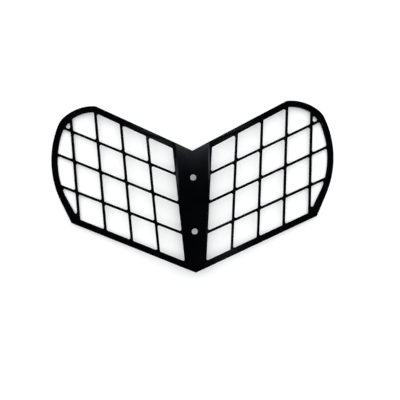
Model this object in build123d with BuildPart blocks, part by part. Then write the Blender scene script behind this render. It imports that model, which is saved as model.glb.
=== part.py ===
from build123d import *
from math import cos, radians, sin, tan
import os

# A motorcycle headlight grille: one laser-cut sheet with a lattice on each side of a solid
# centre plate. The two wings are folded softly back along the borders of that plate.
#
# Frame, in millimetres: the origin lies midway between the two fixing holes, on the back
# face of the centre plate. X runs across the headlight, Y up towards the notch and Z out
# of the front face. The flat pattern is drawn in X and Y before the sheet is folded.

# Sheet and fold
sheet_t = 2.0
fold_angle = 6.0
fold_r = 24.0
fold_sections = 5

# Centre plate
notch_y = 53.8
keel_y = -68.1
border_x = 15.25
border_lean = 4.5
border_land = 0.5
hole_d = 6.0
hole_pitch = 54.0
notch_r = 1.0
keel_r = 1.0

# Outline of a wing: straight upper edge, shoulder arc, horn, side arc, straight flank, heel
upper_slope = 26.55
lower_slope = 22.6
shoulder_x = 97.6
shoulder_round = 5.0
shoulder_arc_r = 47.0
horn_x = 135.3
horn_y = 88.9
horn_round = 22.0
heel_x = 126.3
heel_round = 1.2
flank_len = 24.8
flank_lean = 25.3

# Rim: even all round, but wider inside the horn and from a point above the flank to the heel
rim_w = 6.3
horn_web = 10.5
horn_web_angle = 42.9
gusset_rise = 6.2
gusset_angle = 2.6

# Lattice: uprights stand on y = 0, crossbars pass the station at x = row_station
bar_w = 2.5
column_x = (40.2, 66.35, 92.5, 119.2)
column_fan_angle = 0.4
row_station = 80.0
row_y = (58.7, 29.6, -0.6)
row_slope = (24.15, 23.3, 22.3)
cell_r = 1.5

# Values that follow from the sizes above
lean = radians(border_lean)
theta = radians(fold_angle)
fold_len = (fold_r + sheet_t / 2) * theta
seam_x = border_x - (border_land + fold_len) / cos(lean)
trim_size = 4 * horn_x
outward = Vector(cos(lean), -sin(lean), 0)
upward = Vector(sin(lean), cos(lean), 0)
front = Vector(0, 0, 1)


def upper_y(x):
    """Height of the upper edge of the flat pattern at x."""
    return notch_y + x * tan(radians(upper_slope))


def lower_y(x):
    """Height of the lower edge of the flat pattern at x."""
    return keel_y + x * tan(radians(lower_slope))


# Corners of the outline, and the direction in which its flank leaves the heel
shoulder = Vector(shoulder_x, upper_y(shoulder_x))
horn = Vector(horn_x, horn_y)
heel = Vector(heel_x, lower_y(heel_x))
flank = Vector(sin(radians(flank_lean)), cos(radians(flank_lean)))
flank_end = heel + flank * flank_len


def seam_point(distance, base_y, slope):
    """Place along a line, `distance` outward of the inner seam, where an outline edge crosses it."""
    rise = tan(radians(slope))
    reach = base_y + seam_x * rise + distance * (sin(lean) + cos(lean) * rise)
    return reach / (cos(lean) - sin(lean) * rise)


def beyond(distance):
    """Flat region outward of the line `distance` from the inner seam, larger than the wing."""
    start = Vector(seam_x, 0) + outward * distance
    with BuildSketch() as region:
        with Locations((start.X, start.Y)):
            Rectangle(trim_size, trim_size, rotation=-border_lean, align=(Align.MIN, Align.CENTER))
    return region.sketch


def inward_of(start, outward_lean, gap):
    """Flat region inward of the line through `start` that leans outward, less a strip `gap` wide."""
    with BuildSketch() as region:
        with Locations(Location((start.X, start.Y, 0), (0, 0, -outward_lean))):
            with Locations((-gap, 0)):
                Rectangle(trim_size, trim_size, align=(Align.MAX, Align.CENTER))
    return region.sketch


def half_outline(inset=0):
    """Flat outline of one side with sharp corners, or the same outline `inset` further in."""
    with BuildSketch() as outline:
        with BuildLine():
            Line((0, keel_y), (0, notch_y))
            Line((0, notch_y), shoulder)
            RadiusArc(shoulder, horn, shoulder_arc_r)
            TangentArc(flank_end, horn, tangent=flank)
            Line(flank_end, heel)
            Line(heel, (0, keel_y))
        make_face()
        if inset:
            offset(amount=-inset, mode=Mode.REPLACE)
    return outline.sketch


def half_blank():
    """Flat pattern of one side with its corners rounded, before its cells are cut."""
    with BuildSketch() as blank:
        add(half_outline())
        for corner, radius in ((shoulder, shoulder_round), (horn, horn_round), (heel, heel_round)):
            fillet(blank.vertices().sort_by_distance(corner)[0], radius)
    return blank.sketch


def openings():
    """The cells of one wing: the area inside its rim, divided by the bars, corners rounded.

    Each cell is drawn smaller by its corner radius and then grown by it.
    """
    web_start = horn - Vector(horn_web, 0)
    gusset_start = flank_end + flank * gusset_rise + flank.rotate(Axis.Z, 90) * rim_w
    with BuildSketch() as cells:
        add(half_outline(rim_w + cell_r))
        add(inward_of(web_start, -horn_web_angle, cell_r), mode=Mode.INTERSECT)
        add(inward_of(gusset_start, flank_lean + gusset_angle, cell_r), mode=Mode.INTERSECT)
        add(beyond(border_land + fold_len + cell_r), mode=Mode.INTERSECT)
        for i, x in enumerate(column_x, start=1):
            with Locations((x, 0)):
                turn = column_fan_angle * i - border_lean
                Rectangle(bar_w + 2 * cell_r, trim_size, rotation=turn, mode=Mode.SUBTRACT)
        for y, slope in zip(row_y, row_slope):
            with Locations((row_station, y)):
                Rectangle(trim_size, bar_w + 2 * cell_r, rotation=slope, mode=Mode.SUBTRACT)
        offset(amount=cell_r, mode=Mode.REPLACE)
    return cells.sketch


def fold_radial(angle):
    """Direction out of the sheet's front face, `angle` into the fold."""
    return front * cos(angle) + outward * sin(angle)


def fold_origin(angle):
    """Point on the back face, `angle` into the fold, level with y = 0."""
    return Vector(seam_x, 0, -fold_r) + fold_radial(angle) * fold_r


def wing_plane():
    """The wing's back face, placed so that flat-pattern coordinates hold on it."""
    along = outward * cos(theta) - front * sin(theta)
    flat = Vector(seam_x, 0) + outward * fold_len
    origin = fold_origin(theta) - along * flat.dot(outward) - upward * flat.dot(upward)
    return Plane(origin=origin, x_dir=along * cos(lean) + upward * sin(lean), z_dir=fold_radial(theta))


with BuildPart() as wing:
    with BuildSketch(wing_plane()):
        add(half_blank())
        add(beyond(fold_len), mode=Mode.INTERSECT)
        add(openings(), mode=Mode.SUBTRACT)
    extrude(amount=sheet_t)

with BuildPart() as fold:
    for i in range(fold_sections):
        angle = theta * i / (fold_sections - 1)
        distance = fold_len * i / (fold_sections - 1)
        low = seam_point(distance, keel_y, lower_slope)
        high = seam_point(distance, notch_y, upper_slope)
        tangent = outward * cos(angle) - front * sin(angle)
        with BuildSketch(Plane(origin=fold_origin(angle), x_dir=upward, z_dir=tangent)):
            with Locations((low, 0)):
                Rectangle(high - low, sheet_t, align=(Align.MIN, Align.MIN))
    loft()

with BuildPart() as grille_plate:
    with BuildSketch() as centre:
        add(half_blank())
        add(beyond(0), mode=Mode.SUBTRACT)
        mirror(about=Plane.YZ)
        for y, radius in ((notch_y, notch_r), (keel_y, keel_r)):
            fillet(centre.vertices().sort_by_distance((0, y))[0], radius)
    extrude(amount=sheet_t)
    with Locations((0, hole_pitch / 2, sheet_t), (0, -hole_pitch / 2, sheet_t)):
        Hole(hole_d / 2)
    for half in (fold, wing):
        add(half.part)
        mirror(half.part, about=Plane.YZ)

grille_plate.part.label = "grille_plate"
os.makedirs("parts", exist_ok=True)
export_step(grille_plate.part, "parts/grille_plate.step")
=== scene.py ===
"""The looks of a motorcycle headlight grille: its black coat, the table, light and camera."""

import logging
import math
from dataclasses import dataclass
from enum import Enum

import bpy
from mathutils import Euler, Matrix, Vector


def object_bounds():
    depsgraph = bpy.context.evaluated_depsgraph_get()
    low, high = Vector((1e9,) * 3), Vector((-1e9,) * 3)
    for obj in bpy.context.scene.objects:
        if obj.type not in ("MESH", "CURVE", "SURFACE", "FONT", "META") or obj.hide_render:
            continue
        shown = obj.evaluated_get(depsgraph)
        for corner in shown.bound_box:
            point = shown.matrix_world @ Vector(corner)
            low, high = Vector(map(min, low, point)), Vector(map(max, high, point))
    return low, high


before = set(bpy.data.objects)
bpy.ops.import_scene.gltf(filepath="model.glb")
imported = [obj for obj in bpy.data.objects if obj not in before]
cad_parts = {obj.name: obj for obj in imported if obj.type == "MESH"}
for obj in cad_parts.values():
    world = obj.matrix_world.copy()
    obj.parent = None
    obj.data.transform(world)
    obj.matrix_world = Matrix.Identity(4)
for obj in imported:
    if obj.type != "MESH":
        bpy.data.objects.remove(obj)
cad_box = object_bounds()

log = logging.getLogger("headlight_grille")

MM = 0.001
WHITE = (1.0, 1.0, 1.0)

# Fixed shapes of the coat's effects
RIPPLE_DETAIL = 1.0
GRAIN_DETAIL = 2.0
CLOUD_DETAIL = 3.0
LINE_DETAIL = 2.0
CLOUD_RANGE = (0.3, 0.7)  # the noise where one gloss ends and where the other is full
WALL_RANGE = (0.75, 0.3)  # the normal's Z where a cut wall begins and where it is full
EDGE_RANGE = (0.99, 0.86)  # the cosine of the turn where an edge begins and where it is full
EDGE_SAMPLES = 6
LINE_STRETCH = 0.06  # the lines across a cut wall are longer than wide by one over this

# The Mix node's colour sockets, by number, because its other kinds use the same names
MIX_FIRST = 6
MIX_SECOND = 7
MIX_RESULT = 2

Colour = tuple[float, float, float]
Setting = float | Colour | bpy.types.NodeSocket
Inputs = dict[str | int, Setting]


class Ray(Enum):
    """Rays that see the pale background, by the name of their Light Path output."""

    CAMERA = "Is Camera Ray"
    GLOSSY = "Is Glossy Ray"
    TRANSMISSION = "Is Transmission Ray"


class ShaderSheet:
    """A node tree that is being filled in."""

    def __init__(self, tree: bpy.types.NodeTree) -> None:
        """Keeps the tree and clears the nodes that it starts with."""
        self.tree = tree
        self.tree.nodes.clear()

    def add(self, kind: str, inputs: Inputs | None = None, **settings: object) -> bpy.types.Node:
        """Adds a node.

        Args:
            kind: The node's type, without its ShaderNode prefix.
            inputs: Values for its input sockets, or sockets to link to them, by name or number.
            settings: Values for its own properties, such as an operation.

        Returns:
            The new node.
        """
        node = self.tree.nodes.new(f"ShaderNode{kind}")
        for name, value in settings.items():
            setattr(node, name, value)
        for key, value in (inputs or {}).items():
            self.feed(node.inputs[key], value)
        return node

    def feed(self, socket: bpy.types.NodeSocket, value: Setting) -> None:
        """Links a socket to another one, or sets its own value.

        Args:
            socket: The input socket.
            value: A number, a colour, or the output socket to link.
        """
        if isinstance(value, bpy.types.NodeSocket):
            self.tree.links.new(value, socket)
        elif isinstance(value, tuple) and socket.type == "RGBA":
            socket.default_value = (*value, 1.0)
        else:
            socket.default_value = value

    def math(self, operation: str, first: Setting, second: Setting = 0.0) -> bpy.types.NodeSocket:
        """Adds a Math node.

        Args:
            operation: The node's operation, such as MULTIPLY.
            first: Its first value or socket.
            second: Its second value or socket.

        Returns:
            The result socket.
        """
        return self.add("Math", {0: first, 1: second}, operation=operation).outputs[0]

    def ramp(
        self, value: Setting, low: float, high: float, start: float = 0.0, end: float = 1.0
    ) -> bpy.types.NodeSocket:
        """Maps a value from one range smoothly to another and clamps it.

        Args:
            value: The value or socket to map.
            low: Where the source range starts.
            high: Where the source range ends.
            start: The result at low.
            end: The result at high.

        Returns:
            The result socket.
        """
        inputs = {"Value": value, "From Min": low, "From Max": high, "To Min": start, "To Max": end}
        return self.add("MapRange", inputs, interpolation_type="SMOOTHSTEP").outputs["Result"]

    def blend(self, share: Setting, first: Setting, second: Setting) -> bpy.types.NodeSocket:
        """Mixes two colours.

        Args:
            share: How much of the second colour shows, from 0 to 1.
            first: The first colour.
            second: The second colour.

        Returns:
            The mixed colour's socket.
        """
        node = self.add("Mix", data_type="RGBA")
        self.feed(node.inputs["Factor"], share)
        self.feed(node.inputs[MIX_FIRST], first)
        self.feed(node.inputs[MIX_SECOND], second)
        return node.outputs[MIX_RESULT]

    def seen(self, mirrored: Setting = 1.0) -> bpy.types.NodeSocket:
        """Finds the rays that see the pale background instead of being lit by it.

        Args:
            mirrored: How much of the background a glossy surface shows, from 0 to 1.

        Returns:
            A socket that is 1 for the camera and for glass, and as much as mirrored for gloss.
        """
        path = self.add("LightPath").outputs
        straight = self.math("MAXIMUM", path[Ray.CAMERA.value], path[Ray.TRANSMISSION.value])
        glossy = self.math("MULTIPLY", path[Ray.GLOSSY.value], mirrored)
        return self.math("MAXIMUM", straight, glossy)


class GroupSheet(ShaderSheet):
    """A shader node group that is being filled in, whose sockets all carry one number."""

    def __init__(self, name: str, inputs: tuple[str, ...], outputs: tuple[str, ...]) -> None:
        """Makes the group with its sockets.

        Args:
            name: The group's name.
            inputs: The names of its input sockets.
            outputs: The names of its output sockets.
        """
        super().__init__(bpy.data.node_groups.new(name, "ShaderNodeTree"))
        for side, sockets in (("INPUT", inputs), ("OUTPUT", outputs)):
            for socket in sockets:
                self.tree.interface.new_socket(
                    name=socket, in_out=side, socket_type="NodeSocketFloat"
                )
        self.given = self.tree.nodes.new("NodeGroupInput").outputs
        self.result = self.tree.nodes.new("NodeGroupOutput").inputs


def orange_peel_group() -> bpy.types.NodeTree:
    """Makes the group that gives a sprayed coat its ripple, fine grain and uneven gloss.

    Returns:
        The group. Its inputs are in metres, and Height is in metres too.
    """
    group = GroupSheet(
        "orange_peel",
        ("Ripple Size", "Ripple Depth", "Grain Size", "Grain Depth", "Cloud Size"),
        ("Height", "Cloud"),
    )
    place = group.add("TexCoord").outputs["Object"]

    def noise(size: str, detail: float) -> bpy.types.NodeSocket:
        """Noise whose lumps are as wide as the named input says."""
        scale = group.math("DIVIDE", 1.0, group.given[size])
        inputs = {"Vector": place, "Scale": scale, "Detail": detail}
        return group.add("TexNoise", inputs).outputs["Fac"]

    ripple = noise("Ripple Size", RIPPLE_DETAIL)
    ripple = group.math("MULTIPLY", ripple, group.given["Ripple Depth"])
    grain = noise("Grain Size", GRAIN_DETAIL)
    grain = group.math("MULTIPLY", grain, group.given["Grain Depth"])
    cloud = noise("Cloud Size", CLOUD_DETAIL)
    group.feed(group.result["Height"], group.math("ADD", ripple, grain))
    group.feed(group.result["Cloud"], group.ramp(cloud, *CLOUD_RANGE))
    return group.tree


def cut_wall_group() -> bpy.types.NodeTree:
    """Makes the group that finds the sheet's cut walls and draws the beam's lines across them.

    Returns:
        The group. Wall is 1 on a cut wall and 0 on the sheet's faces. Lines is a height in
        metres.
    """
    group = GroupSheet("cut_wall", ("Line Width", "Line Depth"), ("Wall", "Lines"))
    normal = group.add("TexCoord").outputs["Normal"]
    upright = group.math("ABSOLUTE", group.add("SeparateXYZ", {0: normal}).outputs["Z"])
    wall = group.ramp(upright, *WALL_RANGE)
    place = group.add("TexCoord").outputs["Object"]
    squeeze = {0: place, 1: (1.0, 1.0, LINE_STRETCH)}
    squeezed = group.add("VectorMath", squeeze, operation="MULTIPLY").outputs[0]
    scale = group.math("DIVIDE", 1.0, group.given["Line Width"])
    inputs = {"Vector": squeezed, "Scale": scale, "Detail": LINE_DETAIL}
    lines = group.add("TexNoise", inputs).outputs["Fac"]
    depth = group.math("MULTIPLY", group.given["Line Depth"], wall)
    group.feed(group.result["Wall"], wall)
    group.feed(group.result["Lines"], group.math("MULTIPLY", lines, depth))
    return group.tree


def thin_coat_edge_sheen_group() -> bpy.types.NodeTree:
    """Makes the group that finds the edges, where a melted coat draws back and where the material
    paints a lighter sheen.

    Returns:
        The group. Its Reach is in metres, and Edge is 1 on the edge itself.
    """
    group = GroupSheet("thin_coat_edge_sheen", ("Reach",), ("Edge",))
    reach = {"Radius": group.given["Reach"]}
    rounded = group.add("Bevel", reach, samples=EDGE_SAMPLES).outputs["Normal"]
    flat = group.add("NewGeometry").outputs["Normal"]
    along = group.add("VectorMath", {0: rounded, 1: flat}, operation="DOT_PRODUCT").outputs["Value"]
    group.feed(group.result["Edge"], group.ramp(along, *EDGE_RANGE))
    return group.tree


@dataclass(frozen=True)
class PowderCoat:
    """A satin powder coat, melted over sheet metal. Sizes are in metres."""

    name: str = "satin_black_coat"
    base_colour: Colour = (0.0006, 0.0007, 0.0012)
    cloud_colour: Colour = (0.001, 0.0011, 0.0017)
    # a lighter colour painted along the edges as a sheen, standing in for light caught on their
    # rounding
    edge_sheen_colour: Colour = (0.002, 0.0022, 0.0028)
    roughness: float = 0.14
    roughness_spread: float = 0.04
    wall_roughness: float = 0.7
    edge_roughness: float = 0.35
    ripple_size: float = 2.2 * MM
    ripple_depth: float = 0.012 * MM
    grain_size: float = 0.35 * MM
    grain_depth: float = 0.003 * MM
    cloud_size: float = 28.0 * MM
    line_width: float = 0.3 * MM
    line_depth: float = 0.015 * MM
    edge_reach: float = 0.5 * MM
    ior: float = 1.3

    def material(self) -> bpy.types.Material:
        """Builds the material.

        Returns:
            The new material.
        """
        made = bpy.data.materials.new(self.name)
        made.use_nodes = True
        sheet = ShaderSheet(made.node_tree)
        peel = sheet.add("Group", node_tree=orange_peel_group())
        sheet.feed(peel.inputs["Ripple Size"], self.ripple_size)
        sheet.feed(peel.inputs["Ripple Depth"], self.ripple_depth)
        sheet.feed(peel.inputs["Grain Size"], self.grain_size)
        sheet.feed(peel.inputs["Grain Depth"], self.grain_depth)
        sheet.feed(peel.inputs["Cloud Size"], self.cloud_size)
        wall = sheet.add("Group", node_tree=cut_wall_group())
        sheet.feed(wall.inputs["Line Width"], self.line_width)
        sheet.feed(wall.inputs["Line Depth"], self.line_depth)
        edge = sheet.add("Group", node_tree=thin_coat_edge_sheen_group())
        sheet.feed(edge.inputs["Reach"], self.edge_reach)

        colour = sheet.blend(peel.outputs["Cloud"], self.base_colour, self.cloud_colour)
        # painted sheen: the edges get a lighter colour where light would catch their rounding
        colour = sheet.blend(edge.outputs["Edge"], colour, self.edge_sheen_colour)
        uneven = sheet.math("MULTIPLY", peel.outputs["Cloud"], self.roughness_spread)
        on_wall = sheet.math("MULTIPLY", wall.outputs["Wall"], self.wall_roughness)
        on_edge = sheet.math("MULTIPLY", edge.outputs["Edge"], self.edge_roughness)
        rough = sheet.math("ADD", uneven, self.roughness)
        rough = sheet.math("ADD", rough, on_wall)
        rough = sheet.math("ADD", rough, on_edge)
        height = sheet.math("ADD", peel.outputs["Height"], wall.outputs["Lines"])
        bump = sheet.add("Bump", {"Strength": 1.0, "Distance": 1.0, "Height": height})
        coat = sheet.add("BsdfPrincipled", {
            "Base Color": colour,
            "Roughness": rough,
            "Normal": bump.outputs["Normal"],
            "IOR": self.ior,
        })
        sheet.add("OutputMaterial", {"Surface": coat.outputs["BSDF"]})
        return made


@dataclass(frozen=True)
class PaleBoard:
    """The matt white board that the grille lies on."""

    name: str = "white_board"
    colour: Colour = (0.9, 0.9, 0.9)
    glow: float = 0.18

    def material(self) -> bpy.types.Material:
        """Builds the material, with a little more white for the rays that see the background.

        Returns:
            The new material.
        """
        made = bpy.data.materials.new(self.name)
        made.use_nodes = True
        sheet = ShaderSheet(made.node_tree)
        matt = sheet.add("BsdfDiffuse", {"Color": self.colour})
        glow = sheet.add("Emission", {"Strength": sheet.math("MULTIPLY", sheet.seen(), self.glow)})
        both = sheet.add("AddShader", {0: matt.outputs["BSDF"], 1: glow.outputs["Emission"]})
        sheet.add("OutputMaterial", {"Surface": both.outputs["Shader"]})
        return made


@dataclass
class GrillePlate:
    """The folded lattice plate, which keeps its own shape and gets soft edges and a coat."""

    node: str = "grille_plate"
    slot: str = "black_coat"
    weld_gap: float = 0.001 * MM
    edge_round: float = 0.22 * MM
    edge_steps: int = 2
    sharp_angle: float = math.radians(30)

    def soften_edges(self, plate: bpy.types.Object) -> None:
        """Rounds the sheet's edges by the thickness of a coat.

        Args:
            plate: The plate's object.
        """
        weld = plate.modifiers.new("weld", "WELD")
        weld.merge_threshold = self.weld_gap
        bevel = plate.modifiers.new("coat_radius", "BEVEL")
        bevel.width = self.edge_round
        bevel.segments = self.edge_steps
        bevel.limit_method = "ANGLE"
        bevel.angle_limit = self.sharp_angle
        bevel.use_clamp_overlap = False
        bevel.harden_normals = True

    def build(self, finish: PowderCoat) -> bpy.types.Object:
        """Dresses the plate.

        Args:
            finish: The coat on every face of it.

        Returns:
            The plate's object.
        """
        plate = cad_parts[self.node]
        self.soften_edges(plate)
        plate.material_slots[0].material = finish.material()
        log.info("%s: %s, edges rounded by %.2f mm", self.node, finish.name, self.edge_round / MM)
        return plate


@dataclass
class Table:
    """A wide, flat white top, level with the lowest point of what lies on it."""

    reach: float = 20.0

    def build(self, level: float, finish: PaleBoard) -> bpy.types.Object:
        """Makes the top.

        Args:
            level: Its height in metres.
            finish: What it is covered with.

        Returns:
            The top's object.
        """
        mesh = bpy.data.meshes.new("table_top")
        signs = ((-1, -1), (1, -1), (1, 1), (-1, 1))
        corners = [(x * self.reach, y * self.reach, level) for x, y in signs]
        mesh.from_pydata(corners, [], [(0, 1, 2, 3)])
        mesh.materials.append(finish.material())
        top = bpy.data.objects.new("table_top", mesh)
        bpy.context.scene.collection.objects.link(top)
        log.info("table_top: level %.2f mm", level / MM)
        return top


@dataclass
class SkyLight:
    """The room's light, from bright walls to a dark ceiling. Heights are sines of the angle."""

    wall_light: float = 0.3
    ceiling_light: float = 0.01
    wall_top: float = 0.2
    ceiling_start: float = 0.8

    def build(self) -> None:
        """Sets the scene's world, which looks white and shows white walls in a mirror."""
        world = bpy.data.worlds.new("room")
        world.use_nodes = True
        sheet = ShaderSheet(world.node_tree)
        direction = sheet.add("TexCoord").outputs["Generated"]
        height = sheet.add("SeparateXYZ", {0: direction}).outputs["Z"]
        span = (self.wall_top, self.ceiling_start)
        level = sheet.ramp(height, *span, self.wall_light, self.ceiling_light)
        wall = sheet.ramp(height, *span, 1.0, 0.0)
        strength = sheet.math("MAXIMUM", level, sheet.seen(mirrored=wall))
        light = sheet.add("Background", {"Color": WHITE, "Strength": strength})
        sheet.add("OutputWorld", {"Surface": light.outputs["Background"]})
        bpy.context.scene.world = world
        log.info("room: %.2f at the walls, %.2f overhead", self.wall_light, self.ceiling_light)


@dataclass
class KeyLight:
    """A broad soft light from behind the top of the grille. Angles are in degrees."""

    tilt: float = 26.0
    bearing: float = 80.0
    spread: float = 110.0
    power: float = 3.4

    def build(self) -> None:
        """Makes the lamp, as a sun so that the whole table is evenly lit."""
        lamp = bpy.data.lights.new("key_light", "SUN")
        lamp.energy = self.power
        lamp.angle = math.radians(self.spread)
        holder = bpy.data.objects.new("key_light", lamp)
        holder.rotation_euler = towards(self.tilt, self.bearing).to_track_quat("Z", "Y").to_euler()
        holder.visible_glossy = False
        bpy.context.scene.collection.objects.link(holder)
        log.info("key_light: %.0f degrees off the vertical", self.tilt)


@dataclass
class CeilingPanel:
    """A small square lamp overhead, whose reflection gives the coat a soft patch of light."""

    name: str
    tilt: float
    bearing: float
    power: float
    side: float
    distance: float = 0.62
    colour: Colour = (0.8, 0.93, 1.0)

    def build(self) -> None:
        """Makes the lamp and aims it at the origin."""
        lamp = bpy.data.lights.new(self.name, "AREA")
        lamp.size = self.side
        lamp.color = self.colour
        lamp.energy = self.power
        holder = bpy.data.objects.new(self.name, lamp)
        direction = towards(self.tilt, self.bearing)
        holder.location = direction * self.distance
        holder.rotation_euler = direction.to_track_quat("Z", "Y").to_euler()
        holder.visible_camera = False
        bpy.context.scene.collection.objects.link(holder)
        log.info("%s: %.0f degrees off the vertical", self.name, self.tilt)


@dataclass
class OverheadCamera:
    """The camera, which looks straight down. Lengths are in metres and angles in degrees."""

    right_of_origin: float = 3.14 * MM
    above_origin: float = 4.35 * MM
    height: float = 451.0 * MM
    yaw: float = -0.386
    roll: float = -1.664
    lens_mm: float = 40.5
    sensor_mm: float = 36.0

    def build(self) -> bpy.types.Object:
        """Makes the camera and gives it to the scene.

        Returns:
            The camera's object.
        """
        data = bpy.data.cameras.new("camera")
        data.lens = self.lens_mm
        data.sensor_width = self.sensor_mm
        camera = bpy.data.objects.new("camera", data)
        camera.location = (self.right_of_origin, self.above_origin, self.height)
        camera.rotation_euler = Euler((0.0, math.radians(self.yaw), math.radians(self.roll)))
        bpy.context.scene.collection.objects.link(camera)
        bpy.context.scene.camera = camera
        log.info("camera: %.0f mm above the plate", self.height / MM)
        return camera


def towards(tilt: float, bearing: float) -> Vector:
    """Direction from the grille to a lamp.

    Args:
        tilt: Degrees off the vertical.
        bearing: Degrees from +X towards +Y.

    Returns:
        A vector of length 1.
    """
    off, turn = math.radians(tilt), math.radians(bearing)
    return Vector((math.sin(off) * math.cos(turn), math.sin(off) * math.sin(turn), math.cos(off)))


def main() -> None:
    """Builds the scene piece by piece."""
    logging.basicConfig(level=logging.INFO, format="%(message)s")
    bpy.context.scene.view_settings.view_transform = "Standard"
    GrillePlate().build(PowderCoat())
    Table().build(cad_box[0].z, PaleBoard())
    SkyLight().build()
    KeyLight().build()
    panels = (
        CeilingPanel("panel_middle", tilt=17.0, bearing=90.0, power=0.17, side=0.1),
        CeilingPanel("panel_left", tilt=24.2, bearing=144.0, power=0.02, side=0.06),
        CeilingPanel("panel_right", tilt=25.5, bearing=42.0, power=0.028, side=0.05),
        CeilingPanel("panel_low", tilt=20.0, bearing=-30.0, power=0.015, side=0.06),
    )
    for panel in panels:
        panel.build()
    OverheadCamera().build()


if __name__ == "__main__":
    main()
